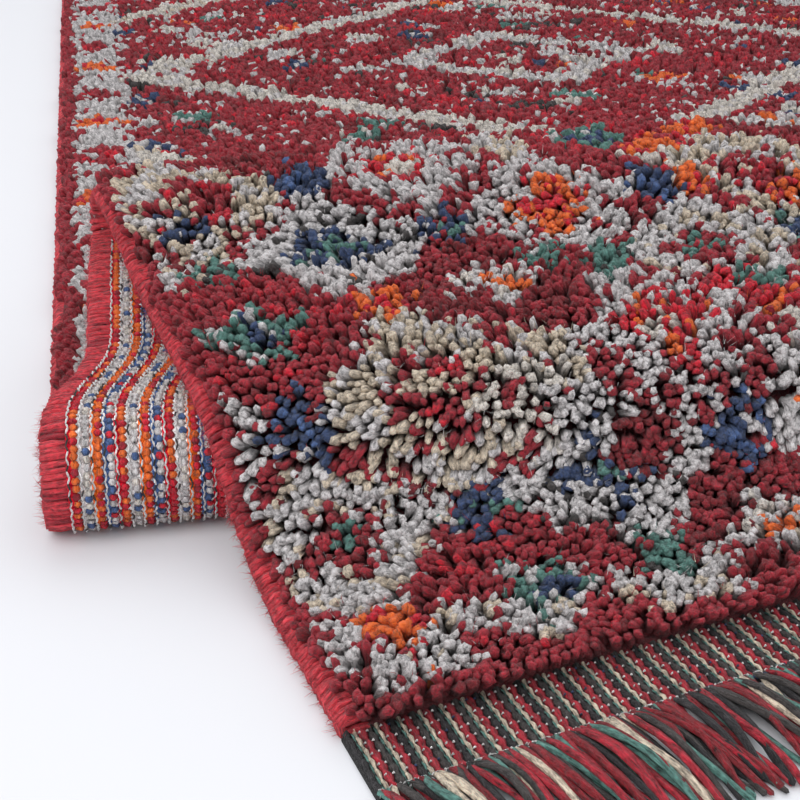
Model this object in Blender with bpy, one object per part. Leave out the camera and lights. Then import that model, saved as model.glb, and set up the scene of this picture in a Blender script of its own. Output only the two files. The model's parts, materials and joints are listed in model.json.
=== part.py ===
"""A wool shag rug with one end folded over on itself in an S.

The rug is built flat, as it comes off the loom, in three measures: the distance
across it from its left edge, the distance along it from the end that is folded
over, and the height above its woven back. One function then lays every point of
it into the folds. Metres, +Z up, with the origin on the floor under the rug.
"""

import math
import random

import bmesh
import bpy
import numpy as np

# The flat rug
WIDTH = 0.910
LENGTH = 1.918
PILE_HEIGHT = 0.0185
BACKING_HEIGHT = 0.0085
PILE_LUMPS = 0.003
LUMP_WAVES = (31.0, 47.0)
LUMP_SLANT = 11.0
LUMP_CHANCE = 0.6
SELVAGE_WIDTH = 0.011
SELVAGE_HEIGHT = 0.0065
KILIM_LENGTH = 0.033
KILIM_HEIGHT = 0.003
FRINGE_LENGTH = 0.056
SEAM_GAP = 0.0006

# Locks and strands
COLUMNS = 18
SELVAGE_SIDES = 6
LOCK_INSET = 0.0014
LOCK_REACH = 0.009
LOCK_DROOP = 0.0025
STRANDS = 75
STRAND_BENDS = 2
STRAND_WANDER = 0.005
STRAND_TIP = 0.45

# The folds: the near one is a round turn with the pile inside, the ridge a
# tight turn with the pile outside, and the end comes back down over both
NEAR_FOLD_RADIUS = 0.026
NEAR_FOLD_TURN = math.radians(-1.6)
RIDGE_RADIUS = 0.011
RIDGE_TURN = math.radians(4.1)
RIDGE_X = 0.033
RIDGE_Y = 0.187
RIDGE_STRAIGHT = 0.32
RIDGE_EASE = 0.055
FAR_END = 1.313
EDGE_X = -0.005
BACK_RISE = 0.018
BACK_RISE_START = 0.045
BACK_RISE_RUN = 0.105
BACK_SAG = 0.003
BACK_SAG_RUN = 0.130
BACK_DRIFT = 0.016
BACK_DRIFT_RUN = 0.075
LAYER_GAP = 0.005
BACK_TOP = 2 * NEAR_FOLD_RADIUS + BACK_RISE
DRAPE = (
    # distance behind the near fold, height of the woven back
    (-0.095, 0.0),
    (-0.050, 0.0055),
    (-0.020, 0.0225),
    (0.000, 0.0445),
    (0.030, 2 * NEAR_FOLD_RADIUS + LAYER_GAP),
    (0.110, 0.0706),
    (0.160, 0.0880),
    (0.210, BACK_TOP + 2 * RIDGE_RADIUS),
)
ORIGIN_X = 0.450
ORIGIN_Y = 0.550
NUDGE = 0.0002
DRAPE_REACH = 0.6
DRAPE_STEPS = 2401

# Rows of the slab along the rug, closer together where it bends
ROWS = (
    # from, to, number of rows
    (0.000, 0.300, 16),
    (0.300, 0.395, 15),
    (0.395, 0.540, 8),
    (0.540, 0.640, 10),
    (0.640, LENGTH, 20),
)

COLOURS = {
    "field": (0.33, 0.02, 0.04, 1.0),
    "selvage": (0.42, 0.05, 0.07, 1.0),
    "fringe": (0.10, 0.07, 0.07, 1.0),
}


def ease(share):
    """A smooth step from 0 to 1."""
    share = np.clip(share, 0.0, 1.0)
    return share * share * (3.0 - 2.0 * share)


def drape_height(behind):
    """Height of the end that lies on top, a smooth curve through DRAPE."""
    places = np.array([row[0] for row in DRAPE])
    heights = np.array([row[1] for row in DRAPE])
    slopes = np.zeros(len(DRAPE))
    slopes[1:-1] = (heights[2:] - heights[:-2]) / (places[2:] - places[:-2])
    cell = np.clip(np.searchsorted(places, behind) - 1, 0, len(DRAPE) - 2)
    step = places[cell + 1] - places[cell]
    t = np.clip((behind - places[cell]) / step, 0.0, 1.0)
    rise = heights[cell + 1] - heights[cell]
    bend = step * t * (1 - t) * (slopes[cell] * (1 - t) - slopes[cell + 1] * t)
    return heights[cell] + rise * ease(t) + bend


def ridge_line(x):
    """How far back the ridge lies: slanting, then level with the near fold."""
    run = x - RIDGE_X
    past = RIDGE_EASE * np.log1p(np.exp((run - RIDGE_STRAIGHT) / RIDGE_EASE))
    return RIDGE_Y + math.tan(RIDGE_TURN) * (run - past) + math.tan(NEAR_FOLD_TURN) * past


def fold(across, along):
    """Where a point of the woven back lies once the rug is folded."""
    x = across + EDGE_X
    y = FAR_END - (LENGTH - along)
    near_cos, near_sin = math.cos(NEAR_FOLD_TURN), math.sin(NEAR_FOLD_TURN)
    ridge_cos, ridge_sin = math.cos(RIDGE_TURN), math.sin(RIDGE_TURN)
    slant = RIDGE_TURN - NEAR_FOLD_TURN

    # The near fold, around a line across the floor
    behind = y * near_cos - x * near_sin
    beside = x * near_cos + y * near_sin
    past = NEAR_FOLD_RADIUS - behind
    turn = np.clip(past / NEAR_FOLD_RADIUS, 0.0, math.pi)
    back = np.maximum(past - math.pi * NEAR_FOLD_RADIUS, 0.0)
    rolled = NEAR_FOLD_RADIUS * (1.0 - np.sin(turn)) + back
    behind = np.where(past <= 0.0, behind, rolled)
    sag = BACK_SAG * np.sin(math.pi * np.clip(back / BACK_SAG_RUN, 0.0, 1.0)) ** 2
    rise = BACK_RISE * ease((back - BACK_RISE_START) / BACK_RISE_RUN)
    height = NEAR_FOLD_RADIUS * (1.0 - np.cos(turn)) - sag + rise
    drift = BACK_DRIFT * ease(back / BACK_DRIFT_RUN)
    flat_x = beside * near_cos - behind * near_sin + drift
    flat_y = beside * near_sin + behind * near_cos

    # The ridge, where each thread of the back turns over
    ridge_x = beside * near_cos + BACK_DRIFT - RIDGE_Y * near_sin
    ridge_y = ridge_line(ridge_x)
    ridge_behind = ridge_y * near_cos - ridge_x * near_sin
    beyond = np.where(back > 0.0, rolled - ridge_behind, -1.0)
    over = beyond * math.cos(slant)
    aside = beyond * math.sin(slant)
    ridge_turn = np.clip(over / RIDGE_RADIUS, 0.0, math.pi)
    down = np.maximum(over - math.pi * RIDGE_RADIUS, 0.0)
    height = height + RIDGE_RADIUS * (1.0 - np.cos(ridge_turn))
    base_x = ridge_x + aside * ridge_cos
    base_y = ridge_y + aside * ridge_sin

    # The end that drapes back down, at its full length along the slope
    table = np.linspace(-DRAPE_REACH, DRAPE_REACH, DRAPE_STEPS)
    steps = np.hypot(np.diff(table), np.diff(drape_height(table)))
    length = np.concatenate([[0.0], np.cumsum(steps)])
    start = base_y * near_cos - base_x * near_sin
    reach = np.interp(np.interp(start, table, length) - down, length, table)
    draped = down > 0.0
    inward = np.where(draped, (reach - start) / math.cos(slant), RIDGE_RADIUS * np.sin(ridge_turn))
    turned = over > 0.0
    place_x = np.where(turned, base_x - inward * ridge_sin, flat_x)
    place_y = np.where(turned, base_y + inward * ridge_cos, flat_y)
    place_z = np.where(draped, drape_height(reach), height)
    return np.stack([place_x - ORIGIN_X, place_y - ORIGIN_Y, place_z], axis=-1)


def lay(flat_points):
    """Folded places of points given as across, along and height."""
    across, along, height = np.asarray(flat_points, dtype=float).T
    sideways = fold(across + NUDGE, along) - fold(across - NUDGE, along)
    lengthways = fold(across, along + NUDGE) - fold(across, along - NUDGE)
    upward = np.cross(sideways, lengthways)
    upward /= np.linalg.norm(upward, axis=-1, keepdims=True)
    return fold(across, along) + height[:, None] * upward


def make_object(name, flat_mesh, colour):
    """Fold a flat mesh and link it as an object with its own material."""
    flat_mesh.verts.ensure_lookup_table()
    places = lay([vertex.co for vertex in flat_mesh.verts])
    for vertex, place in zip(flat_mesh.verts, places):
        vertex.co = place
    bmesh.ops.recalc_face_normals(flat_mesh, faces=flat_mesh.faces)
    mesh = bpy.data.meshes.new(name)
    flat_mesh.to_mesh(mesh)
    flat_mesh.free()
    material = bpy.data.materials.new(name)
    material.use_nodes = True
    shader = material.node_tree.nodes["Principled BSDF"]
    shader.inputs["Base Color"].default_value = COLOURS[colour]
    shader.inputs["Roughness"].default_value = 0.95
    shader.inputs["Metallic"].default_value = 0.0
    mesh.materials.append(material)
    part = bpy.data.objects.new(name, mesh)
    bpy.context.collection.objects.link(part)
    return part


def block(columns, rows, heights):
    """A closed flat block, cut along the given columns, rows and heights.

    heights(across, along) gives the levels from the underside to the top.
    """
    flat = bmesh.new()
    levels = [[heights(a, s) for s in rows] for a in columns]
    count = len(levels[0][0])
    corners = {}

    def corner(i, j, k):
        key = (i, j, k)
        if key not in corners:
            corners[key] = flat.verts.new((columns[i], rows[j], levels[i][j][k]))
        return corners[key]

    last_column, last_row, top = len(columns) - 1, len(rows) - 1, count - 1
    rim = []
    for i in range(last_column):
        for j in range(last_row):
            for k in (0, top):
                ring = [(i, j, k), (i + 1, j, k), (i + 1, j + 1, k), (i, j + 1, k)]
                flat.faces.new([corner(*key) for key in ring])
    for k in range(top):
        for i in (0, last_column):
            for j in range(last_row):
                ring = [(i, j, k), (i, j + 1, k), (i, j + 1, k + 1), (i, j, k + 1)]
                face = flat.faces.new([corner(*key) for key in ring])
                rim.append((face, k, (-1 if i == 0 else 1, 0)))
        for j in (0, last_row):
            for i in range(last_column):
                ring = [(i, j, k), (i + 1, j, k), (i + 1, j, k + 1), (i, j, k + 1)]
                face = flat.faces.new([corner(*key) for key in ring])
                rim.append((face, k, (0, -1 if j == 0 else 1)))
    return flat, rim


def slab_rows():
    """The places along the rug at which the slab has a row."""
    rows = [0.0]
    for start, end, count in ROWS:
        rows.extend(start + (end - start) * (k + 1) / count for k in range(count))
    return rows


def make_field():
    """The knotted field: woven back and pile in one slab, with locks at its rim."""
    rng = random.Random(5)
    side = SELVAGE_WIDTH + SEAM_GAP
    columns = [side + (WIDTH - 2 * side) * k / COLUMNS for k in range(COLUMNS + 1)]

    def levels(across, along):
        wave = math.sin(LUMP_WAVES[0] * across + LUMP_SLANT * along)
        cross_wave = math.sin(LUMP_WAVES[1] * along - LUMP_SLANT * across)
        even = 0.5 * (1.0 - LUMP_CHANCE) * (wave + cross_wave)
        lump = even + LUMP_CHANCE * rng.uniform(-1.0, 1.0)
        return 0.0, BACKING_HEIGHT, PILE_HEIGHT + PILE_LUMPS * lump

    flat, rim = block(columns, slab_rows(), levels)
    for face, level, outward in rim:
        if level == 0:
            continue
        bmesh.ops.inset_individual(flat, faces=[face], thickness=LOCK_INSET, use_even_offset=True)
        middle = bmesh.ops.poke(flat, faces=[face])["verts"][0]
        reach = LOCK_REACH * rng.uniform(0.75, 1.1)
        middle.co.x += reach * outward[0]
        middle.co.y += reach * outward[1]
        middle.co.z -= LOCK_DROOP * rng.uniform(0.5, 1.0)
    return make_object("rug_field", flat, "field")


def make_selvage(name, centre):
    """The overcast edge: a flat cord of wool turns sewn along one side."""
    rng = random.Random(len(name))
    flat = bmesh.new()
    rings = []
    for along in slab_rows():
        swell = rng.uniform(0.90, 1.0)
        ring = []
        for k in range(SELVAGE_SIDES):
            angle = 2 * math.pi * (k + 0.5) / SELVAGE_SIDES
            widest = math.cos(math.pi / SELVAGE_SIDES)
            across = centre + 0.5 * SELVAGE_WIDTH * math.cos(angle) / widest
            underneath = math.sin(angle) < -widest
            height = 0.0 if underneath else 0.5 * SELVAGE_HEIGHT * (1.0 + swell * math.sin(angle))
            ring.append(flat.verts.new((across, along, height)))
        rings.append(ring)
    for first, second in zip(rings, rings[1:]):
        for k in range(SELVAGE_SIDES):
            beside = (k + 1) % SELVAGE_SIDES
            flat.faces.new([first[k], first[beside], second[beside], second[k]])
    flat.faces.new(rings[0])
    flat.faces.new(rings[-1])
    return make_object(name, flat, "selvage")


def make_fringe(name, root, direction):
    """A flat-woven strip past one end of the pile, and the fringe fused to it."""
    rng = random.Random(int(1000 * abs(root)) + 3)
    cells = 2 * STRANDS + 1
    columns = [WIDTH * k / cells for k in range(cells + 1)]
    inner = root + direction * SEAM_GAP
    outer = root + direction * KILIM_LENGTH
    rows = sorted((inner, outer))
    flat, rim = block(columns, rows, lambda across, along: (0.0, KILIM_HEIGHT))
    ends = [face for face, level, outward in rim if outward == (0, direction)]
    taper = STRAND_TIP ** (1 / STRAND_BENDS)
    for face in ends[1::2]:
        drift = STRAND_WANDER * rng.uniform(-1.0, 1.0)
        reach = FRINGE_LENGTH * rng.uniform(0.85, 1.0)
        for bend in range(1, STRAND_BENDS + 1):
            made = bmesh.ops.extrude_discrete_faces(flat, faces=[face])
            tip = made["faces"][0]
            middle = tip.calc_center_median()
            for vertex in tip.verts:
                vertex.co.x = middle.x + taper * (vertex.co.x - middle.x) + drift * bend / STRAND_BENDS
                vertex.co.y += direction * reach / STRAND_BENDS
                vertex.co.z *= taper
            face = tip
    return make_object(name, flat, "fringe")


def main():
    for old in list(bpy.data.objects):
        bpy.data.objects.remove(old, do_unlink=True)
    make_field()
    make_selvage("selvage_left", 0.5 * SELVAGE_WIDTH)
    make_selvage("selvage_right", WIDTH - 0.5 * SELVAGE_WIDTH)
    make_fringe("fringe_front", 0.0, -1)
    make_fringe("fringe_back", LENGTH, 1)


main()
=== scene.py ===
import json
import math

import bpy
import numpy as np
from bpy.props import FloatProperty, FloatVectorProperty, IntProperty, PointerProperty
from bpy.types import Operator, Panel, PropertyGroup
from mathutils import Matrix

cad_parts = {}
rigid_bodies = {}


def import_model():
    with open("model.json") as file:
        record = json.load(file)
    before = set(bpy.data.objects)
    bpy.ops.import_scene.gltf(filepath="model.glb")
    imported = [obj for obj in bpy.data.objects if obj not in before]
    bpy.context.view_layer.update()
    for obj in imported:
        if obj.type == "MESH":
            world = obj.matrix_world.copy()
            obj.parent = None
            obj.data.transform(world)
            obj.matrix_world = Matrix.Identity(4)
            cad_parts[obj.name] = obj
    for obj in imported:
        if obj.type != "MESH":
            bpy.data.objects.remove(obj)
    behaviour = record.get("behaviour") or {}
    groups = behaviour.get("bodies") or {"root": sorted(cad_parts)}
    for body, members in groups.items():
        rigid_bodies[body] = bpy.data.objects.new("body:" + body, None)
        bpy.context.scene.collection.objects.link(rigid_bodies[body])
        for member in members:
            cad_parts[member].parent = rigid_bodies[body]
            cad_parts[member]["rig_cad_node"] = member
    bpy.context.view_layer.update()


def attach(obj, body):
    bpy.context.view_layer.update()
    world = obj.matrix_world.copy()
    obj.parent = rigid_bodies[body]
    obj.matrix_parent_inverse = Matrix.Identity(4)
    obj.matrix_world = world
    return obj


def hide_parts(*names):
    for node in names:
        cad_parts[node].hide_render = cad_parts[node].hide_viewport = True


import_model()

bl_info = {
    "name": "Folded shag rug",
    "version": (1, 0, 0),
    "blender": (4, 5, 0),
    "location": "3D View > Sidebar > Rug",
    "description": "Dresses the solids of a folded wool shag rug with pile, weave and fringe",
    "category": "Object",
}

# Millimetres in a metre, and where each set of random draws starts
MILLIMETRES = 1000
SEEDS = {
    "pile": 100, "combing": 77, "dyes": 41, "outlines": 7, "figures": 19,
    "back": 12, "warps": 31, "stitches": 32, "fringe": 51, "fibres": 61,
}

# The rug laid flat, in metres
RUG_WIDTH = 0.910
RUG_LENGTH = 1.918

# The folds, as the solids have them, in metres
ORIGIN_X = 0.450
ORIGIN_Y = 0.550
EDGE_X = -0.005
FAR_END = 1.313
NEAR_FOLD_RADIUS = 0.026
NEAR_FOLD_TURN = math.radians(-1.6)
RIDGE_RADIUS = 0.011
RIDGE_TURN = math.radians(4.1)
RIDGE_X = 0.033
RIDGE_Y = 0.187
RIDGE_STRAIGHT = 0.32
RIDGE_EASE = 0.055
BACK_RISE = 0.018
BACK_RISE_START = 0.045
BACK_RISE_RUN = 0.105
BACK_SAG = 0.003
BACK_SAG_RUN = 0.130
BACK_DRIFT = 0.016
BACK_DRIFT_RUN = 0.075
LAYER_GAP = 0.005
BACK_TOP = 2 * NEAR_FOLD_RADIUS + BACK_RISE
DRAPE = (
    # distance behind the near fold, height of the woven back
    (-0.095, 0.0),
    (-0.050, 0.0055),
    (-0.020, 0.0225),
    (0.000, 0.0445),
    (0.030, 2 * NEAR_FOLD_RADIUS + LAYER_GAP),
    (0.110, 0.0706),
    (0.160, 0.0880),
    (0.210, BACK_TOP + 2 * RIDGE_RADIUS),
)
DRAPE_REACH = 0.6
DRAPE_STEPS = 2401
NUDGE = 0.0002

# The grid of the woven ground, and what is left free for the seam with the strips
GROUND_COLUMNS = 34
GROUND_SEAM = 0.0005

# The pile's zones: the near ones show closely, the others from further off
PILE_ZONES = (
    # name, across from, to, along from, to, pitch, sides, rings (all sizes in metres)
    ("pile_near_front", 0.000, 0.240, 0.000, 0.200, 0.0037, 5, 3),
    ("pile_near_ridge", 0.000, 0.240, 0.200, 0.400, 0.0039, 5, 3),
    ("pile_near_middle", 0.240, 0.410, 0.000, 0.400, 0.0043, 5, 3),
    ("pile_near_right", 0.410, RUG_WIDTH, 0.000, 0.400, 0.0080, 4, 2),
    ("pile_inside_fold", 0.000, RUG_WIDTH, 0.400, 0.620, 0.0115, 3, 2),
    ("pile_floor_edge", 0.000, 0.090, 0.620, 0.830, 0.0052, 5, 2),
    ("pile_between_layers", 0.090, RUG_WIDTH, 0.620, 0.830, 0.0115, 3, 2),
    ("pile_middle", 0.000, RUG_WIDTH, 0.830, 1.260, 0.0063, 4, 2),
    ("pile_far", 0.000, RUG_WIDTH, 1.260, RUG_LENGTH, 0.0077, 3, 2),
)

# A tuft. Heights and insets are in metres, jitter and thickness are shares of the pitch, and a
# pair is a range, apart from TUFT_LENGTH, a middle and its spread as shares of the pile's
# height, and TUFT_BEND, the tilt at the root and what it gains to the tip
TUFT_JITTER = 0.22
TUFT_INSET = 0.001
TUFT_EDGE_COVER = 0.85
TUFT_ROOT = 0.0015
TUFT_LENGTH = (0.97, 0.06)
TUFT_SHORTEST = 0.006
TUFT_LONGEST = 1.15
TUFT_THICKNESS = 0.62
TUFT_SWELL = (0.76, 1.16)
TUFT_UNEVENNESS = (0.72, 1.24)
TUFT_LEAN = (0.02, 0.95)
TUFT_BEND = (0.35, 0.75)
TUFT_BEND_STEPS = 8
TUFT_PLY_DEPTH = 0.20
TUFT_PLY_TWIST = 4.2
TUFT_RINGS = {
    # number of rings: share of the length, share of the full radius
    3: ((0.25, 0.85), (0.64, 1.02), (0.94, 0.84)),
    2: ((0.20, 0.90), (0.88, 0.98)),
}
TUFT_TIP = {3: 1.02, 2: 1.05}

# Painted shade: how dark a tuft is from its shaded root to its tip, and a lightness that differs at
# random from tuft to tuft
SHADE_AT_ROOT = 0.10
LIGHT_GAIN_TO_TIP = 0.95
SHADE_CURVE = 1.3
TONE_SPREAD = (0.82, 1.06)

# How the pile is combed, as shares of a full lean: a push across and along everywhere, waves
# in it, and more of it near the rims, whose starts and reaches are in metres
COMBED = (-0.54, -0.46)
COMBED_WAVES = (
    # strength, wavelength
    (0.36, 0.085), (0.16, 0.014),
)
UNCOMBED = 0.19
LEAN_LONGER = 0.16
RIM_SHORTER = 0.20
RIM_START = 0.008
RIM_REACH = 0.010
RIM_PUSH = (0.10, 0.30)
END_REACH = 0.009
END_PUSH = 0.75

# The design, in millimetres: a generic lattice of lozenges at the folded end, nested
# lozenges on the rest, small diamonds scattered between them, and a border at each side
LATTICE_ACROSS = 118
LATTICE_ALONG = 110
LATTICE_SHIFT = 0.30
LATTICE_END = 420
LATTICE_CELLS = (
    # ground, mixed with, share, heart, mixed with, share, core
    ("grey", "crimson", 0.20, "orange", "bright_red", 0.40, "bright_red"),
    ("grey", "beige", 0.30, "crimson", "dark_crimson", 0.30, "teal"),
    ("crimson", "bright_red", 0.22, "teal", "grey", 0.40, "navy"),
    ("beige", "grey", 0.55, "crimson", "bright_red", 0.20, "beige"),
    ("grey", "charcoal", 0.12, "navy", "grey", 0.30, "teal"),
    ("dark_crimson", "crimson", 0.60, "grey", "cream", 0.25, "orange"),
    ("grey", "crimson", 0.30, "bright_red", "orange", 0.30, "cream"),
)
CELL_REACH = 0.45
HEART_REACH = 0.20
CORE_REACH = 0.09
CORE_MIXED = 0.20
CORNER_REACH = 0.15
CORNER_MOTIFS = (
    # colour, mixed with, share, at the corners of the lattice by turns
    ("navy", "blue", 0.40),
    ("orange", "bright_red", 0.35),
    ("navy", "teal", 0.30),
    ("beige", "grey", 0.40),
    ("teal", "charcoal", 0.25),
)
ZIGZAG_PERIOD = 64
ZIGZAG_MIDDLE = 26
ZIGZAG_SWING = 9
ZIGZAG_WIDTH = 12
ZIGZAG_DYES = ("grey", "beige", 0.20)
NESTED_MIDDLE = 1400
NESTED_ACROSS = 455
NESTED_SLOPE = 1.15
NESTED_BANDS = (
    # distance of the band from the middle, nominal width, colour, mixed with, share
    (120, 26, "grey", "cream", 0.35),
    (380, 30, "cream", "grey", 0.30),
    (690, 32, "cream", "beige", 0.30),
)
# Half a band's width along the slope of its sides, as a share of the nominal width
NESTED_HALF = 0.72
SIDE_BAND = (12, 65)
SIDE_BAND_DYES = ("grey", "crimson", 0.12)
BORDER_MOTIFS = (
    # colour, mixed with, share mixed in, by turns along the border
    ("orange", "bright_red", 0.35),
    ("crimson", "bright_red", 0.25),
)
BORDER_ACROSS = 40
BORDER_PITCH = 100
BORDER_START = 640
BORDER_REPEATS = 13
BORDER_HALF = (20, 18)
BORDER_REACH = 1.25
SMALL_FIGURES = 760
FIGURE_THINNING = 4
FIGURE_ACROSS = (20, 890)
FIGURE_ALONG = (30, 1910)
FIGURE_HALF = (11, 27)
FIGURE_SQUAT = 1.2
FIGURE_MIXED = 0.35
FIGURE_COLOURS = (
    # colour, mixed with
    ("grey", "cream"), ("cream", "grey"), ("bright_red", "crimson"), ("orange", "bright_red"),
    ("grey", "crimson"), ("charcoal", "crimson"), ("teal", "grey"), ("navy", "grey"),
    ("cream", "crimson"), ("dark_crimson", "crimson"),
)
RIM_ACROSS = (13, 20)
RIM_ALONG = 9
RIM_WANDER = 0.3
RIM_DYES = ("crimson", "dark_crimson", 0.18)
OUTLINE_WAVES = (
    # how far a hand strays, wavelength in metres
    (5.0, 0.030), (4.0, 0.013),
)
OUTLINE_JITTER = 1.3
MIXING_WAVE = 0.017
MIXING_JITTER = 0.16
MIXING_SCALE = 0.7
PATCH_WAVE = 0.022
PATCHINESS = 0.16
FIELD_SHARES = (
    # colour, share of the ground, in the folded end and in the rest
    ("dark_crimson", 0.16, 0.16),
    ("grey", -0.10, 0.09),
    ("bright_red", -0.06, 0.06),
    ("charcoal", -0.10, -0.08),
)

# The underside's columns of knots, by turns warm and cool, and the chain stitches between them.
# Sizes are in metres, and jitter is across and along
BACK_COLUMNS = (
    # first colour, second colour, share of the second, third colour, its share
    ("orange", "bright_red", 0.40, "crimson", 0.10),
    ("grey", "cream", 0.30, "blue", 0.20),
    ("bright_red", "orange", 0.45, "crimson", 0.08),
    ("blue", "grey", 0.45, "bright_red", 0.20),
)
BACK_PITCH_ACROSS = 0.0050
BACK_PITCH_ALONG = 0.0034
BACK_ACROSS = (0.0118, 0.120)
BACK_ALONG = (0.392, 0.6175)
BACK_BANDS = (
    # start of the band in the repeat of four columns, colour, where the knots aren't raised
    (0.00, "white"), (0.05, "orange"), (0.25, "white"), (0.29, "blue"),
    (0.50, "white"), (0.54, "bright_red"), (0.75, "white"), (0.79, "grey"),
)
KNOT_RINGS = (
    # share of the half length, share of the radius
    (-0.90, 0.60), (0.00, 1.08), (0.88, 0.62),
)
KNOT_TIP = 1.05
KNOT_SWELL = (0.9, 1.1)
KNOT_STAGGER = 0.4
KNOT_JITTER = (0.00015, 0.0002)
KNOT_RADIUS = 0.0019
KNOT_FLATNESS = 0.75
KNOT_SINK = 0.0002
KNOT_SIDES = 5
CHAIN_PITCH = 0.0026
CHAIN_JITTER = (0.00012, 0.00015)
CHAIN_WHITE = 0.82
CHAIN_REACH = 0.62
CHAIN_LEAN = 0.00045
CHAIN_HEIGHTS = (-0.0013, -0.0019, -0.0013)
CHAIN_RADII = (0.00035, 0.0006, 0.00035)

# A turn of the overcast edge, from the field under and round the outer edge and back, in metres
EDGE_TURN = (
    # across from the outer edge, height, share of the slant
    (0.0116, 0.0016, 0.00), (0.0058, 0.0013, 0.25), (0.0018, 0.0018, 0.45),
    (0.0014, 0.0046, 0.60), (0.0040, 0.0066, 0.80), (0.0108, 0.0070, 1.00),
)
EDGE_SLANT = 0.0022
EDGE_START = 0.0008
EDGE_END = 0.002
EDGE_JITTER = 0.00040
EDGE_WANDER = 0.0002
EDGE_THICKNESS = 0.65
EDGE_SWELL = (0.80, 1.20)
EDGE_UNEVENNESS = (0.75, 1.25)
EDGE_RED_SHARE = 0.85
EDGES = (
    # name, at the right side, distance between turns, sides of a yarn, seed
    ("selvage_left", False, 0.0030, 5, 12),
    ("selvage_right", True, 0.0036, 4, 13),
)

# The flat-woven ends and their fringe. Lengths and heights are in metres, tucks and rows are
# shares of the strip, and the starts of the wefts are in warp pitches. A sway or swing holds a
# strength and a wavelength, and the jitter of the wefts is across and along
ENDS = (
    {"name": "front", "at": 0.0, "way": -1, "warp_rings": 13, "stitch_step": 2,
     "chain_pitch": 0.0026, "yarn_sides": 5, "yarn_rings": 10},
    {"name": "back", "at": 1.0, "way": 1, "warp_rings": 6, "stitch_step": 4,
     "chain_pitch": 0.0052, "yarn_sides": 4, "yarn_rings": 6},
)
END_CLOTH = 0.0014
END_SEAM = 0.0006
END_GRID = (120, 9)
END_INSET = 0.0005
WARP_MARGINS = (0.0012, 0.0015)
WARP_SIDES = 4
WARP_TUCK = -0.02
WARP_HEIGHT = 0.0016
WARP_RIPPLE = 0.0007
WARP_SWAY = (0.00025, 0.02)
WEFT_START = 2.85
WEFT_PAIR = 1.45
WEFT_MARGIN = 0.005
WEFT_ROWS = 12
WEFT_ROW_PITCH = 0.085
WEFT_JITTER = (0.0002, 0.006)
WEFT_WHITE = 0.88
WEFT_HEIGHTS = (0.0027, 0.0032, 0.0027)
WEFT_RADII = (0.00032, 0.00052, 0.00032)
WEFT_REACH = 0.00055
CLOSING_REACH = 0.0011
CLOSING_LEAN = 0.8
CLOSING_ROWS = (0.985, 0.93)
CLOSING_SHIFT = 0.001
CLOSING_MARGIN = 0.002
WARP_ORDER = (
    # colour, share of the warp pitch that it is wide, in the order in which they repeat
    ("black", 1.50),
    ("teal", 0.40),
    ("beige", 0.85),
    ("crimson", 1.65),
    ("charcoal", 1.50),
    ("teal", 0.45),
    ("beige", 0.85),
    ("crimson", 1.60),
)
FRINGE_COLOURS = (
    # colour, share of the yarns
    ("crimson", 0.17),
    ("dark_crimson", 0.12),
    ("teal", 0.23),
    ("charcoal", 0.24),
    ("black", 0.15),
    ("beige", 0.09),
)
FRINGE_RADIUS = 0.00140
FRINGE_LENGTH = (0.78, 0.94)
FRINGE_TUCK = 0.002
FRINGE_MARGIN = 0.002
FRINGE_JITTER = 0.0005
FRINGE_SLANT = 0.010
FRINGE_SWING = (0.005, 0.03)
FRINGE_STRAY = 0.0035
FRINGE_CURL = 0.0020
FRINGE_CURL_TURNS = (0.8, 1.9)
FRINGE_SWELL = (0.85, 1.15)
FRINGE_UNEVENNESS = (0.80, 1.20)
FRINGE_LAYER = 0.0022
FRINGE_LAYERS = 3
FRINGE_ROOT_HEIGHT = 0.0010
FRINGE_CLEARANCE = 0.0002
FRINGE_TIP = 0.001

# Stray fibres, in metres, apart from the share on the edge and the curl as a share of the length
FIBRES_ON_EDGE = 0.66
FIBRE_REACH = (
    # across, then along: from and to on the overcast edge, from and to on the pile
    ((0.0, 0.009), (0.01, 0.42)),
    ((0.0, 0.62), (0.0, 0.40)),
)
FIBRE_HEIGHTS = (0.001, 0.0075)
FIBRE_DEPTH = 0.003
FIBRE_LENGTHS = (0.002, 0.0045)
FIBRE_HALF_WIDTHS = (0.00014, 0.00011, 0.00003)
FIBRE_CURL = 0.35
FIBRE_FLOOR = 0.0003

# The wool's look: fibres drawn out along each yarn, unlike those of the next, and painted shade that
# makes each root darker
STRAND_STRETCH = 0.24
STRANDS_APART = 0.3
YARN_STEPS = (0.618, 0.414, 0.732)
TUFT_SCALE = 260.0
FIBRE_SCALE = 760.0
TUFT_SWING = 1.6
FIBRE_SWING = 5.2
# Painted shade: the colour's value where a root is shaded, and where nothing is shaded
SHADED_ROOT_VALUE = 0.32
UNSHADED_VALUE = 1.22
WOOL_KINDS = {
    # wool for tufts, yarn for spun threads
    "wool": {"Tuft scale": TUFT_SCALE, "Unevenness": 0.75},
    "yarn": {"Tuft scale": 420.0, "Unevenness": 0.80},
}


def from_hex(code):
    """A colour as Blender wants it, from the six digits that a paint chart gives."""
    parts = [int(code[k:k + 2], 16) / 255 for k in (0, 2, 4)]
    return tuple(p / 12.92 if p <= 0.04045 else ((p + 0.055) / 1.055) ** 2.4 for p in parts)


def colour_property(label, code):
    """A wool colour that a user can change."""
    return FloatVectorProperty(
        name=label, description="Dye of the " + label.lower() + " wool",
        default=from_hex(code), min=0.0, max=1.0, size=3, subtype="COLOR")


def size_property(label, description, default, low):
    """A size in metres that a user can change."""
    return FloatProperty(
        name=label, description=description, default=default, min=low, unit="LENGTH")


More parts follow.
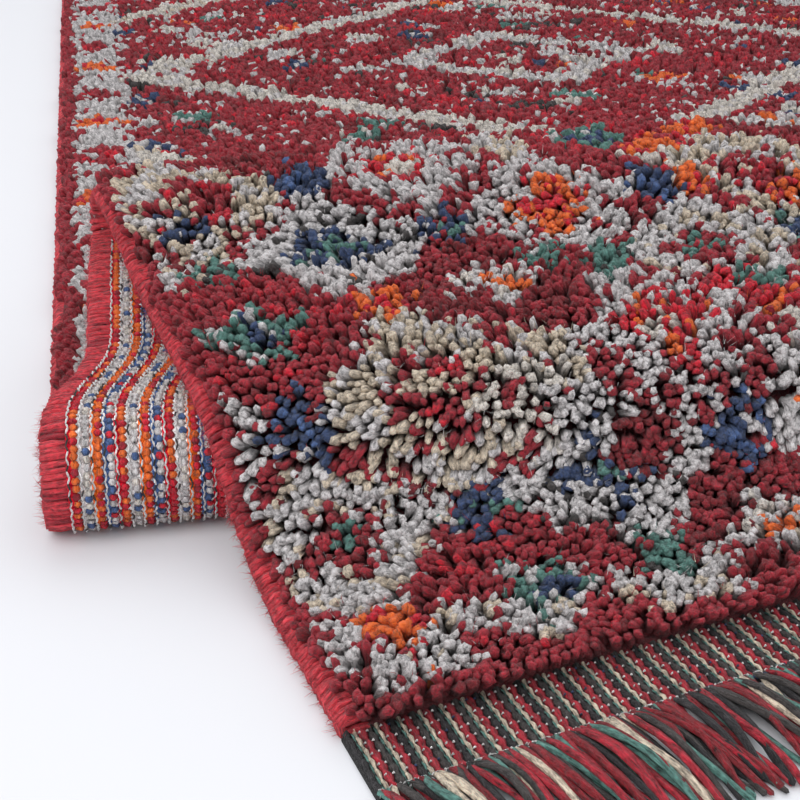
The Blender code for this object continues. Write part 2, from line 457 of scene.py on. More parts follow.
class RugSizes(PropertyGroup):
    """The rug's sizes, in metres."""

    width: size_property("Width", "Width of the rug with its edges", RUG_WIDTH, 0.3)
    length: size_property("Length", "Length of the piled field, laid flat", RUG_LENGTH, 0.5)
    pile_height: size_property(
        "Pile height", "Height of the pile above the underside", 0.0185, 0.004)
    cloth_thickness: size_property(
        "Cloth thickness", "Thickness of the woven ground", 0.003, 0.001)
    selvage_width: size_property("Edge width", "Width of the overcast edge", 0.011, 0.003)
    strip_length: size_property(
        "Strip length", "Length of the flat-woven strip at each end", 0.033, 0.005)
    fringe_length: size_property(
        "Fringe length", "Length of the fringe past the strip", 0.056, 0.01)
    warp_pitch: size_property(
        "Warp pitch", "Distance between the warps of the flat-woven strip", 0.0019, 0.001)
    fringe_pitch: size_property(
        "Fringe pitch", "Distance between the fringe yarns at their roots", 0.0015, 0.001)
    stray_fibres: IntProperty(
        name="Stray fibres", description="Number of loose wool fibres on the near part",
        default=16000, min=0)


class RugColours(PropertyGroup):
    """The dyes of the wool."""

    crimson: colour_property("Crimson", "A3202F")
    dark_crimson: colour_property("Dark crimson", "801620")
    edge_red: colour_property("Edge red", "CC3843")
    bright_red: colour_property("Bright red", "D0182F")
    orange: colour_property("Orange", "F4702A")
    grey: colour_property("Grey", "D6D1D0")
    cream: colour_property("Cream", "E0D8CE")
    beige: colour_property("Beige", "D6C6B0")
    navy: colour_property("Navy", "34466B")
    blue: colour_property("Blue", "4A6494")
    teal: colour_property("Teal", "58857B")
    charcoal: colour_property("Charcoal", "3F3A38")
    black: colour_property("Black", "262325")
    white: colour_property("White", "F2F0EE")


class RugStage(PropertyGroup):
    """The camera and the light."""

    lens: FloatProperty(
        name="Lens", description="Focal length", default=59.5, min=10.0, unit="CAMERA")
    pitch: FloatProperty(
        name="Pitch", description="How far the camera looks down",
        default=math.radians(27.1), subtype="ANGLE")
    heading: FloatProperty(
        name="Heading", description="How far the camera turns from the rug's length",
        default=math.radians(12.5), subtype="ANGLE")
    place: FloatVectorProperty(
        name="Place", description="Where the camera stands",
        default=(-0.4108, -1.0389, 0.3127), size=3, subtype="XYZ", unit="LENGTH")
    sky_strength: FloatProperty(
        name="Sky", description="Strength of the light from all around", default=0.95, min=0.0)
    lamp_power: FloatProperty(
        name="Lamp", description="Power of the soft box in front, in watts", default=26.0, min=0.0)


COLOUR_NAMES = tuple(RugColours.__annotations__)
DYE = {name: number for number, name in enumerate(COLOUR_NAMES)}


def ease(share):
    """A smooth step from 0 to 1."""
    share = np.clip(share, 0.0, 1.0)
    return share * share * (3.0 - 2.0 * share)


def drape_height(behind):
    """Height of the end that lies on top, a smooth curve through DRAPE."""
    places = np.array([row[0] for row in DRAPE])
    heights = np.array([row[1] for row in DRAPE])
    slopes = np.zeros(len(DRAPE))
    slopes[1:-1] = (heights[2:] - heights[:-2]) / (places[2:] - places[:-2])
    cell = np.clip(np.searchsorted(places, behind) - 1, 0, len(DRAPE) - 2)
    step = places[cell + 1] - places[cell]
    t = np.clip((behind - places[cell]) / step, 0.0, 1.0)
    rise = heights[cell + 1] - heights[cell]
    bend = step * t * (1 - t) * (slopes[cell] * (1 - t) - slopes[cell + 1] * t)
    return heights[cell] + rise * ease(t) + bend


def ridge_line(x):
    """How far back the ridge lies: slanting, then level with the near fold."""
    run = x - RIDGE_X
    past = RIDGE_EASE * np.log1p(np.exp((run - RIDGE_STRAIGHT) / RIDGE_EASE))
    return RIDGE_Y + math.tan(RIDGE_TURN) * (run - past) + math.tan(NEAR_FOLD_TURN) * past


def fold(across, along):
    """Where a point of the woven back lies once the rug is folded."""
    length = bpy.context.scene.rug_sizes.length
    x = across + EDGE_X
    y = FAR_END - (length - along)
    near_cos, near_sin = math.cos(NEAR_FOLD_TURN), math.sin(NEAR_FOLD_TURN)
    ridge_cos, ridge_sin = math.cos(RIDGE_TURN), math.sin(RIDGE_TURN)
    slant = RIDGE_TURN - NEAR_FOLD_TURN

    # The near fold, around a line across the floor
    behind = y * near_cos - x * near_sin
    beside = x * near_cos + y * near_sin
    past = NEAR_FOLD_RADIUS - behind
    turn = np.clip(past / NEAR_FOLD_RADIUS, 0.0, math.pi)
    back = np.maximum(past - math.pi * NEAR_FOLD_RADIUS, 0.0)
    rolled = NEAR_FOLD_RADIUS * (1.0 - np.sin(turn)) + back
    behind = np.where(past <= 0.0, behind, rolled)
    sag = BACK_SAG * np.sin(math.pi * np.clip(back / BACK_SAG_RUN, 0.0, 1.0)) ** 2
    rise = BACK_RISE * ease((back - BACK_RISE_START) / BACK_RISE_RUN)
    height = NEAR_FOLD_RADIUS * (1.0 - np.cos(turn)) - sag + rise
    drift = BACK_DRIFT * ease(back / BACK_DRIFT_RUN)
    flat_x = beside * near_cos - behind * near_sin + drift
    flat_y = beside * near_sin + behind * near_cos

    # The ridge, where each thread of the back turns over
    ridge_x = beside * near_cos + BACK_DRIFT - RIDGE_Y * near_sin
    ridge_y = ridge_line(ridge_x)
    ridge_behind = ridge_y * near_cos - ridge_x * near_sin
    beyond = np.where(back > 0.0, rolled - ridge_behind, -1.0)
    over = beyond * math.cos(slant)
    aside = beyond * math.sin(slant)
    ridge_turn = np.clip(over / RIDGE_RADIUS, 0.0, math.pi)
    down = np.maximum(over - math.pi * RIDGE_RADIUS, 0.0)
    height = height + RIDGE_RADIUS * (1.0 - np.cos(ridge_turn))
    base_x = ridge_x + aside * ridge_cos
    base_y = ridge_y + aside * ridge_sin

    # The end that drapes back down, at its full length along the slope
    table = np.linspace(-DRAPE_REACH, DRAPE_REACH, DRAPE_STEPS)
    steps = np.hypot(np.diff(table), np.diff(drape_height(table)))
    slope_length = np.concatenate([[0.0], np.cumsum(steps)])
    start = base_y * near_cos - base_x * near_sin
    reach = np.interp(np.interp(start, table, slope_length) - down, slope_length, table)
    draped = down > 0.0
    inward = np.where(draped, (reach - start) / math.cos(slant), RIDGE_RADIUS * np.sin(ridge_turn))
    turned = over > 0.0
    place_x = np.where(turned, base_x - inward * ridge_sin, flat_x)
    place_y = np.where(turned, base_y + inward * ridge_cos, flat_y)
    place_z = np.where(draped, drape_height(reach), height)
    return np.stack([place_x - ORIGIN_X, place_y - ORIGIN_Y, place_z], axis=-1)


def unit(vectors):
    """The vectors at length one."""
    return vectors / np.linalg.norm(vectors, axis=-1, keepdims=True)


def ground(across, along):
    """Places on the woven back, with the directions across, along and up there."""
    sideways = unit(fold(across + NUDGE, along) - fold(across - NUDGE, along))
    lengthways = fold(across, along + NUDGE) - fold(across, along - NUDGE)
    upward = unit(np.cross(sideways, lengthways))
    return fold(across, along), sideways, np.cross(upward, sideways), upward


def lay(across, along, height):
    """Folded places of points given as across, along and height."""
    place, sideways, lengthways, upward = ground(across, along)
    return place + height[..., None] * upward


def waves(rng, across, along, wavelength, count=5):
    """A smooth uneven value from -1 to 1 that changes over about one wavelength."""
    total = np.zeros_like(across)
    for k in range(count):
        angle = rng.uniform(0.0, 2 * math.pi)
        size = 2 * math.pi / (wavelength * rng.uniform(0.7, 1.5))
        phase = rng.uniform(0.0, 2 * math.pi)
        total += np.sin(size * (math.cos(angle) * across + math.sin(angle) * along) + phase)
    return total / count ** 0.5 / 1.4


def layered_waves(rng, across, along, layers):
    """The sum of waves of several strengths and wavelengths."""
    return sum(strength * waves(rng, across, along, wavelength) for strength, wavelength in layers)


def paint(chosen, inside, row, mixing):
    """Colour the tufts inside a shape with its colour and, in patches, the one mixed in."""
    if not inside.any():
        return
    colour, mixed, share = row
    pick = mixing < np.quantile(mixing[inside], MIXING_SCALE * share)
    chosen[inside & ~pick] = DYE[colour]
    chosen[inside & pick] = DYE[mixed]


def lattice(chosen, u, s, where, mixing):
    """The folded end: lozenges in a lattice, small ones at its corners, a zigzag at the end."""
    rising = LATTICE_SHIFT + u / LATTICE_ACROSS + s / LATTICE_ALONG
    falling = u / LATTICE_ACROSS - s / LATTICE_ALONG
    row, column = np.floor(rising).astype(int), np.floor(falling).astype(int)
    away = np.maximum(np.abs(rising - row - 0.5), np.abs(falling - column - 0.5))
    number = (2 * row + column) % len(LATTICE_CELLS)
    for k, cell in enumerate(LATTICE_CELLS):
        here = where & (number == k)
        paint(chosen, here & (away < CELL_REACH), cell[:3], mixing)
        paint(chosen, here & (away < HEART_REACH), cell[3:6], mixing)
        paint(chosen, here & (away < CORE_REACH), (cell[6], cell[3], CORE_MIXED), mixing)
    row, column = np.rint(rising).astype(int), np.rint(falling).astype(int)
    away = np.maximum(np.abs(rising - row), np.abs(falling - column))
    for k, corner in enumerate(CORNER_MOTIFS):
        here = where & ((row + 2 * column) % len(CORNER_MOTIFS) == k)
        paint(chosen, here & (away < CORNER_REACH), corner, mixing)
    swing = 4 * np.abs((u / ZIGZAG_PERIOD) % 1 - 0.5) - 1
    zigzag = where & (np.abs(s - ZIGZAG_MIDDLE - ZIGZAG_SWING * swing) < ZIGZAG_WIDTH / 2)
    paint(chosen, zigzag, ZIGZAG_DYES, mixing)


def scatter(chosen, u, s, mixing):
    """Small diamonds anywhere on the rug, fewer at the folded end."""
    figures = np.random.default_rng(SEEDS["figures"])
    for k in range(SMALL_FIGURES):
        middle = figures.uniform(*FIGURE_ACROSS), figures.uniform(*FIGURE_ALONG)
        half = figures.uniform(*FIGURE_HALF)
        colour, mixed = FIGURE_COLOURS[figures.integers(len(FIGURE_COLOURS))]
        if middle[1] < LATTICE_END and k % FIGURE_THINNING:
            continue
        inside = np.abs(u - middle[0]) + np.abs(s - middle[1]) * FIGURE_SQUAT < half
        paint(chosen, inside, (colour, mixed, FIGURE_MIXED), mixing)


def nested_lozenges(chosen, u, s, where, mixing):
    """The bands of the nested lozenges, on the rest of the rug."""
    spread = np.abs(u - NESTED_ACROSS) + NESTED_SLOPE * np.abs(s - NESTED_MIDDLE)
    for away, width, *dyes in NESTED_BANDS:
        paint(chosen, (np.abs(spread - away) < NESTED_HALF * width) & where, dyes, mixing)


def borders(chosen, u, s, width, mixing):
    """A band at each side, with its diamonds by turns."""
    side = np.minimum(u, width - u)
    band = (side > SIDE_BAND[0]) & (side < SIDE_BAND[1]) & (s > LATTICE_END)
    paint(chosen, band, SIDE_BAND_DYES, mixing)
    for near in (u, width - u):
        for k in range(BORDER_REPEATS):
            middle = BORDER_START + BORDER_PITCH * k
            away = (np.abs((near - BORDER_ACROSS) / BORDER_HALF[0])
                    + np.abs((s - middle) / BORDER_HALF[1]))
            paint(chosen, away < BORDER_REACH, BORDER_MOTIFS[k % len(BORDER_MOTIFS)], mixing)


def design(across, along):
    """The number of the dye of each tuft, from the tables at the top."""
    sizes = bpy.context.scene.rug_sizes
    width, length = round(MILLIMETRES * sizes.width), round(MILLIMETRES * sizes.length)
    across_mm, along_mm = MILLIMETRES * across, MILLIMETRES * along
    rng = np.random.default_rng(SEEDS["dyes"])
    shape_rng = np.random.default_rng(SEEDS["outlines"])
    drift_across = layered_waves(shape_rng, across, along, OUTLINE_WAVES)
    drift_along = layered_waves(shape_rng, across, along, OUTLINE_WAVES)
    u = across_mm + drift_across + rng.normal(0.0, OUTLINE_JITTER, across.shape)
    s = along_mm + drift_along + rng.normal(0.0, OUTLINE_JITTER, across.shape)
    mixing = waves(shape_rng, across, along, MIXING_WAVE)
    mixing = mixing + rng.normal(0.0, MIXING_JITTER, across.shape)
    folded_end = along < LATTICE_END / MILLIMETRES
    chosen = np.full(across.shape, DYE["crimson"])
    for colour, share_end, share_rest in FIELD_SHARES:
        share = np.where(folded_end, share_end, share_rest)
        patch = PATCHINESS * waves(shape_rng, across, along, PATCH_WAVE)
        chosen[rng.uniform(size=across.shape) < share + patch] = DYE[colour]
    lattice(chosen, u, s, folded_end, mixing)
    scatter(chosen, u, s, mixing)
    nested_lozenges(chosen, u, s, ~folded_end, mixing)
    borders(chosen, u, s, width, mixing)
    rim = np.where(folded_end, *RIM_ACROSS)
    edge = np.minimum(across_mm, width - across_mm) < rim + drift_across * RIM_WANDER
    ends = np.minimum(along_mm, length - along_mm) < RIM_ALONG + drift_along * RIM_WANDER
    paint(chosen, edge | ends, RIM_DYES, mixing)
    return chosen


def link_piece(name, mesh, tone, strand):
    """Put a mesh into the scene. Each vertex keeps its painted shade with its random lightness, and
    its place on its own yarn, which the wool's fibres follow."""
    shade_and_tone_values = mesh.attributes.new("tone", "FLOAT", "POINT")
    shade_and_tone_values.data.foreach_set("value", np.ravel(tone).astype(np.float32))
    strands = mesh.attributes.new("strand", "FLOAT_VECTOR", "POINT")
    strands.data.foreach_set("vector", np.ravel(strand).astype(np.float32))
    piece = bpy.data.objects.new(name, mesh)
    bpy.context.scene.collection.objects.link(piece)
    return piece


def build_mesh(name, vertices, faces, face_colours, strand, kind, tone=1.0):
    """A piece from arrays: faces is a list of index arrays with 3 or 4 corners a row."""
    mesh = bpy.data.meshes.new(name)
    shade_and_tone_values = np.broadcast_to(tone, vertices.shape[:-1])
    vertices = np.ascontiguousarray(vertices.reshape(-1, 3), dtype=np.float32)
    mesh.vertices.add(len(vertices))
    mesh.vertices.foreach_set("co", vertices.ravel())
    corners = np.concatenate([block.ravel() for block in faces])
    sizes = np.concatenate([np.full(len(block), block.shape[1]) for block in faces])
    starts = np.concatenate([[0], np.cumsum(sizes)[:-1]])
    mesh.loops.add(len(corners))
    mesh.loops.foreach_set("vertex_index", corners.astype(np.int32))
    mesh.polygons.add(len(sizes))
    mesh.polygons.foreach_set("loop_start", starts.astype(np.int32))
    colours = np.concatenate([np.asarray(block) for block in face_colours])
    used = sorted(set(colours.tolist()))
    slot_of = np.zeros(max(used) + 1, int)
    for number, colour in enumerate(used):
        slot_of[colour] = number
        mesh.materials.append(material(COLOUR_NAMES[colour], kind))
    mesh.polygons.foreach_set("material_index", slot_of[colours].astype(np.int32))
    mesh.polygons.foreach_set("use_smooth", np.ones(len(sizes), bool))
    mesh.update(calc_edges=True)
    return link_piece(name, mesh, shade_and_tone_values, strand)


def running_sum(steps):
    """The sum of each row so far, from nought."""
    return np.concatenate([np.zeros((len(steps), 1)), np.cumsum(steps, axis=1)], axis=1)


def at_rings(vectors, count):
    """The same direction at each ring of a yarn."""
    return np.repeat(vectors[:, None, :], count, axis=1)


def tubes(centres, side_a, side_b, radii, sides, colours, tip=None):
    """Joined tubes: centres, side_a and side_b are yarns by rings by 3, radii yarns by rings
    by sides. Gives the vertices, the faces, the colour of each face and the places on the
    yarns. tip adds a point."""
    yarns, rings = centres.shape[:2]
    angles = 2 * math.pi * np.arange(sides) / sides
    ring = (np.cos(angles)[:, None] * side_a[:, :, None, :]
            + np.sin(angles)[:, None] * side_b[:, :, None, :])
    vertices = centres[:, :, None, :] + radii[..., None] * ring
    vertices = vertices.reshape(yarns, rings * sides, 3)
    travelled = running_sum(np.linalg.norm(np.diff(centres, axis=1), axis=-1))[:, :, None]
    strand = np.stack([radii * np.cos(angles), radii * np.sin(angles),
                       STRAND_STRETCH * travelled * np.ones(sides)], axis=-1)
    strand = strand.reshape(yarns, rings * sides, 3)
    if tip is not None:
        vertices = np.concatenate([vertices, tip[:, None, :]], axis=1)
        strand_tip = strand[:, -sides:].mean(axis=1, keepdims=True)
        strand = np.concatenate([strand, strand_tip], axis=1)
    apart = np.modf(np.arange(yarns)[:, None] * np.array(YARN_STEPS))[0]
    strand = strand + STRANDS_APART * apart[:, None, :]
    first = vertices.shape[1] * np.arange(yarns)[:, None, None]
    here = np.arange(sides)
    beside = (here + 1) % sides
    quads = np.concatenate([
        np.stack([low + here, low + beside, low + sides + beside, low + sides + here], axis=1)
        for low in sides * np.arange(rings - 1)])
    faces = [(first + quads).reshape(-1, 4)]
    face_colours = [np.repeat(colours, len(quads))]
    if tip is not None:
        top = (rings - 1) * sides
        fan = np.stack([top + here, top + beside, np.full(sides, rings * sides)], axis=1)
        faces.append((first + fan).reshape(-1, 3))
        face_colours.append(np.repeat(colours, sides))
    return vertices, faces, face_colours, strand


def short_stitches(middle, reach, upward, heights, side_a, side_b, radii, colours):
    """Stitches of three rings: reach goes from the middle of each to its end."""
    centres = np.stack([middle + part * reach + height * upward
                        for part, height in zip((-1.0, 0.0, 1.0), heights)], axis=1)
    wide = np.broadcast_to(np.array(radii)[None, :, None], (len(middle), 3, 3))
    return tubes(centres, at_rings(side_a, 3), at_rings(side_b, 3), wide, 3, colours)


def path_sides(points):
    """Two directions square to each path, from its own run and the way up."""
    run = unit(np.gradient(points, axis=1))
    up = np.zeros_like(run)
    up[..., 2] = 1.0
    side = np.cross(run, up)
    weak = np.linalg.norm(side, axis=-1, keepdims=True) < 0.05
    side = unit(np.where(weak, np.array([1.0, 0.0, 0.0]), side))
    return side, np.cross(run, side)


def new_group(name, inputs, outputs):
    """A shader node group with named sockets."""
    group = bpy.data.node_groups.new(name, "ShaderNodeTree")
    for label, kind, value in inputs:
        socket = group.interface.new_socket(label, in_out="INPUT", socket_type=kind)
        socket.default_value = value
    for label, kind in outputs:
        group.interface.new_socket(label, in_out="OUTPUT", socket_type=kind)
    return group, group.nodes.new("NodeGroupInput"), group.nodes.new("NodeGroupOutput")


def math_node(tree, operation, first, second):
    """A Math node, fed by sockets or set to numbers."""
    node = tree.nodes.new("ShaderNodeMath")
    node.operation = operation
    for socket, value in zip(node.inputs, (first, second)):
        if isinstance(value, (int, float)):
            socket.default_value = value
        else:
            tree.links.new(value, socket)
    return node.outputs[0]


def set_inputs(node, values):
    """Set sockets of a node to constants."""
    for name, value in values.items():
        node.inputs[name].default_value = value


def wool_group():
    """Spun wool: dye that takes unevenly from tuft to tuft, fine fibres, and painted shade that
    darkens each tuft towards its root.
    """
    if "Spun wool" in bpy.data.node_groups:
        return bpy.data.node_groups["Spun wool"]
    group, given, result = new_group(
        "Spun wool",
        (("Dye", "NodeSocketColor", (0.5, 0.5, 0.5, 1.0)),
         ("Strand", "NodeSocketVector", (0.0, 0.0, 0.0)),
         ("Tuft scale", "NodeSocketFloat", TUFT_SCALE),
         ("Fibre scale", "NodeSocketFloat", FIBRE_SCALE),
         ("Unevenness", "NodeSocketFloat", 0.75),
         ("Tone", "NodeSocketFloat", 1.0)),
        (("Colour", "NodeSocketColor"), ("Height", "NodeSocketFloat")))
    links = group.links
    place = group.nodes.new("ShaderNodeTexCoord")
    tuft = group.nodes.new("ShaderNodeTexNoise")
    set_inputs(tuft, {"Detail": 1.0})
    fibre = group.nodes.new("ShaderNodeTexNoise")
    set_inputs(fibre, {"Detail": 4.0, "Roughness": 0.72})
    links.new(place.outputs["Object"], tuft.inputs["Vector"])
    links.new(given.outputs["Strand"], fibre.inputs["Vector"])
    links.new(given.outputs["Tuft scale"], tuft.inputs["Scale"])
    links.new(given.outputs["Fibre scale"], fibre.inputs["Scale"])
    swing = math_node(group, "SUBTRACT", tuft.outputs["Fac"], 0.5)
    swing = math_node(group, "MULTIPLY", swing, TUFT_SWING)
    fine = math_node(group, "SUBTRACT", fibre.outputs["Fac"], 0.5)
    fine = math_node(group, "MULTIPLY", fine, FIBRE_SWING)
    both = math_node(group, "ADD", swing, fine)
    both = math_node(group, "MULTIPLY", both, given.outputs["Unevenness"])
    value = math_node(group, "ADD", both, 1.0)
    # Painted shade: the colour grows darker where the kept value is low, at each tuft's root
    root_shade = group.nodes.new("ShaderNodeMapRange")
    set_inputs(root_shade, {"To Min": SHADED_ROOT_VALUE, "To Max": UNSHADED_VALUE})
    links.new(given.outputs["Tone"], root_shade.inputs["Value"])
    value = math_node(group, "MULTIPLY", value, root_shade.outputs["Result"])
    shade = group.nodes.new("ShaderNodeHueSaturation")
    links.new(value, shade.inputs["Value"])
    links.new(given.outputs["Dye"], shade.inputs["Color"])
    links.new(shade.outputs["Color"], result.inputs["Colour"])
    links.new(fibre.outputs["Fac"], result.inputs["Height"])
    return group


def kept_value(tree, name):
    """The node that reads what the vertices keep under that name."""
    node = tree.nodes.new("ShaderNodeAttribute")
    node.attribute_name = name
    return node


def wool_node(tree, values):
    """The spun wool placed in a material, with its fibres along the yarns."""
    wool = tree.nodes.new("ShaderNodeGroup")
    wool.node_tree = wool_group()
    set_inputs(wool, values)
    tree.links.new(kept_value(tree, "strand").outputs["Vector"], wool.inputs["Strand"])
    return wool


def add_bump(tree, shader, height, values):
    """Raise the surface by a height that changes over it."""
    bump = tree.nodes.new("ShaderNodeBump")
    set_inputs(bump, values)
    tree.links.new(height, bump.inputs["Height"])
    tree.links.new(bump.outputs["Normal"], shader.inputs["Normal"])


def new_material(name):
    """A material, its node tree and its shader."""
    made = bpy.data.materials.new(name)
    made.use_nodes = True
    return made, made.node_tree, made.node_tree.nodes["Principled BSDF"]


def material(colour, kind):
    """The wool of one dye, made once for each of WOOL_KINDS."""
    name = "rug_" + kind + "_" + colour
    if name in bpy.data.materials:
        return bpy.data.materials[name]
    made, tree, shader = new_material(name)
    dye = tuple(getattr(bpy.context.scene.rug_colours, colour))
    wool = wool_node(tree, {"Dye": (*dye, 1.0), **WOOL_KINDS[kind]})
    # Painted shade: each vertex's kept value darkens the dye
    tree.links.new(kept_value(tree, "tone").outputs["Fac"], wool.inputs["Tone"])
    tree.links.new(wool.outputs["Colour"], shader.inputs["Base Color"])
    add_bump(tree, shader, wool.outputs["Height"], {"Strength": 1.0, "Distance": 0.0042})
    sheen = tuple(0.5 + 0.5 * part for part in dye)
    set_inputs(shader, {
        "Roughness": 0.92, "Specular IOR Level": 0.18, "Sheen Weight": 0.32,
        "Sheen Roughness": 0.45, "Sheen Tint": (*sheen, 1.0)})
    return made


def weave_material():
    """The back of the woven ground: stripes of knots with pale lines between them."""
    made, tree, shader = new_material("rug_woven_back")
    place = tree.nodes.new("ShaderNodeUVMap")
    place.uv_map = "flat"
    split = tree.nodes.new("ShaderNodeSeparateXYZ")
    tree.links.new(place.outputs["UV"], split.inputs["Vector"])
    repeat = len(BACK_COLUMNS) * BACK_PITCH_ACROSS
    turns = math_node(tree, "DIVIDE", split.outputs["X"], repeat)
    stripes = tree.nodes.new("ShaderNodeValToRGB")
    ramp = stripes.color_ramp
    ramp.interpolation = "CONSTANT"
    while len(ramp.elements) < len(BACK_BANDS):
        ramp.elements.new(0.5)
    for element, (start, colour) in zip(ramp.elements, BACK_BANDS):
        element.position = start
        element.color = (*getattr(bpy.context.scene.rug_colours, colour), 1.0)
    tree.links.new(math_node(tree, "FRACT", turns, 0.0), stripes.inputs["Fac"])
    wool = wool_node(tree, {"Unevenness": 0.8})
    tree.links.new(stripes.outputs["Color"], wool.inputs["Dye"])
    tree.links.new(wool.outputs["Colour"], shader.inputs["Base Color"])
    ripples = []
    for axis, pitch in (("X", BACK_PITCH_ACROSS), ("Y", BACK_PITCH_ALONG)):
        wave = math_node(tree, "MULTIPLY", split.outputs[axis], 2 * math.pi / pitch)
        ripples.append(math_node(tree, "COSINE", wave, 0.0))
    knots = math_node(tree, "MULTIPLY", math_node(tree, "ADD", *ripples), 0.5)
    height = math_node(tree, "SUBTRACT", wool.outputs["Height"], knots)
    add_bump(tree, shader, height, {"Strength": 0.7, "Distance": 0.0012})
    set_inputs(shader, {"Roughness": 0.95, "Specular IOR Level": 0.15})
    return made


def woven_sheet(name, columns, rows, thickness, cloth_material):
    """A closed sheet of cloth laid into the folds, with its flat places kept as a UV map."""
    across, along = np.meshgrid(columns, rows, indexing="ij")
    across, along = across.ravel(), along.ravel()
    under = lay(across, along, np.zeros(across.shape))
    over = lay(across, along, np.full(across.shape, thickness))
    shift = len(columns) * len(rows)
    number = np.arange(shift).reshape(len(columns), len(rows))
    a, b = number[:-1, :-1].ravel(), number[1:, :-1].ravel()
    c, d = number[1:, 1:].ravel(), number[:-1, 1:].ravel()
    quads = [np.stack([a, d, c, b], axis=1), shift + np.stack([a, b, c, d], axis=1)]
    rims = ((number[0], False), (number[-1], True), (number[:, 0], True), (number[:, -1], False))
    for line, flip in rims:
        first, second = (line[1:], line[:-1]) if flip else (line[:-1], line[1:])
        quads.append(np.stack([first, first + shift, second + shift, second], axis=1))
    faces = np.concatenate(quads)
    mesh = bpy.data.meshes.new(name)
    mesh.from_pydata(np.concatenate([under, over]).tolist(), [], faces.tolist())
    mesh.polygons.foreach_set("use_smooth", np.ones(len(mesh.polygons), bool))
    flat = mesh.uv_layers.new(name="flat")
    corners = np.empty(len(mesh.loops), int)
    mesh.loops.foreach_get("vertex_index", corners)
    corners %= shift
    flat.data.foreach_set("uv", np.stack([across[corners], along[corners]], axis=1).ravel())
    mesh.materials.append(cloth_material)
    # Half value on every vertex of the cloth: painted shade under the pile and the warps
    return link_piece(name, mesh, np.full(2 * shift, 0.5), np.concatenate([under, over]))


def dress(piece, slot, *nodes):
    """Let a piece ride on the rug and stand for its solids. The slot is not used."""
    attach(piece, "root")
    if nodes:
        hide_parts(*nodes)


def add_yarns(name, yarns, slot, *nodes):
    """Build spun threads from what tubes gives, and dress the rug with them."""
    dress(build_mesh(name, *yarns, kind="yarn"), slot, *nodes)


def numbered_grid(columns, rows):
    """The number of the column and of the row at each crossing."""
    grids = np.meshgrid(np.arange(len(columns)), np.arange(len(rows)), indexing="ij")
    return [grid.ravel() for grid in grids]


def by_turns(numbers):
    """One for even numbers and minus one for odd ones, as a column."""
    return np.where(numbers % 2 == 0, 1.0, -1.0)[:, None]


def spread_rows(table):
    """Rows along the rug from a table of from, to and count."""
    rows = [table[0][0]]
    for start, end, count in table:
        rows.extend(start + (end - start) * (k + 1) / count for k in range(count))
    return np.array(rows)


class RUG_OT_stage(Operator):
    """Make the floor, the soft light and the camera"""

    bl_idname = "rug.stage"
    bl_label = "Stage"

    def execute(self, context):
        settings = context.scene.rug_stage
        bpy.ops.mesh.primitive_plane_add(size=40.0, location=(0.0, 0.0, 0.0))
        floor = context.active_object
        floor.name = "floor"
        pale, tree, shader = new_material("floor_pale")
        set_inputs(shader, {"Base Color": (*from_hex("DEDFE2"), 1.0),
                            "Roughness": 0.6, "Specular IOR Level": 0.2})
        floor.data.materials.append(pale)

        world = bpy.data.worlds.new("soft_room")
        world.use_nodes = True
        sky = world.node_tree.nodes["Background"]
        set_inputs(sky, {"Color": (*from_hex("F3F4F8"), 1.0), "Strength": settings.sky_strength})
        context.scene.world = world

        lamps = (
            # name, place, size, power share, turn from looking down
            ("soft_box_front", (-1.3, -1.5, 2.0), 1.8, 1.0,
             (math.radians(38), 0.0, math.radians(-42))),
            ("soft_box_above", (0.3, 1.0, 2.2), 2.4, 0.5, (math.radians(-24), 0.0, 0.0)),
        )
        for name, place, size, share, turn in lamps:
            lamp = bpy.data.lights.new(name, "AREA")
            lamp.shape = "DISK"
            lamp.size = size
            lamp.energy = settings.lamp_power * share
            holder = bpy.data.objects.new(name, lamp)
            holder.location = place
            holder.rotation_euler = turn
            context.scene.collection.objects.link(holder)

        lens = bpy.data.cameras.new("camera")
        lens.lens = settings.lens
        lens.sensor_width = 36.0
        lens.clip_start = 0.01
        camera = bpy.data.objects.new("camera", lens)
        camera.location = settings.place
        camera.rotation_euler = (math.radians(90) - settings.pitch, 0.0, -settings.heading)
        context.scene.collection.objects.link(camera)
        context.scene.camera = camera
        context.scene.view_settings.view_transform = "Standard"
        context.scene.view_settings.look = "None"
        return {"FINISHED"}


class RUG_OT_ground(Operator):
    """Weave the ground cloth that holds the pile"""

    bl_idname = "rug.ground"
    bl_label = "Woven ground"

    def execute(self, context):
        sizes = context.scene.rug_sizes
        inset = sizes.selvage_width
        columns = np.linspace(inset, sizes.width - inset, GROUND_COLUMNS)
        rows = spread_rows((
            # from, to, number of rows, closer together around the folds
            (GROUND_SEAM, 0.300, 22), (0.300, 0.395, 26), (0.395, 0.540, 14),
            (0.540, 0.640, 24), (0.640, sizes.length - GROUND_SEAM, 34),
        ))
        piece = woven_sheet("woven_ground", columns, rows, sizes.cloth_thickness, weave_material())
        # The top of the ground, seen between the tufts, is dark crimson wool at half value: partly
        # the field's own colour, partly painted shade
        piece.data.materials.append(material("dark_crimson", "wool"))
        top = (len(columns) - 1) * (len(rows) - 1)
        for polygon in piece.data.polygons[top:]:
            polygon.material_index = 1
        dress(piece, "rug_field", "rug_field")
        return {"FINISHED"}


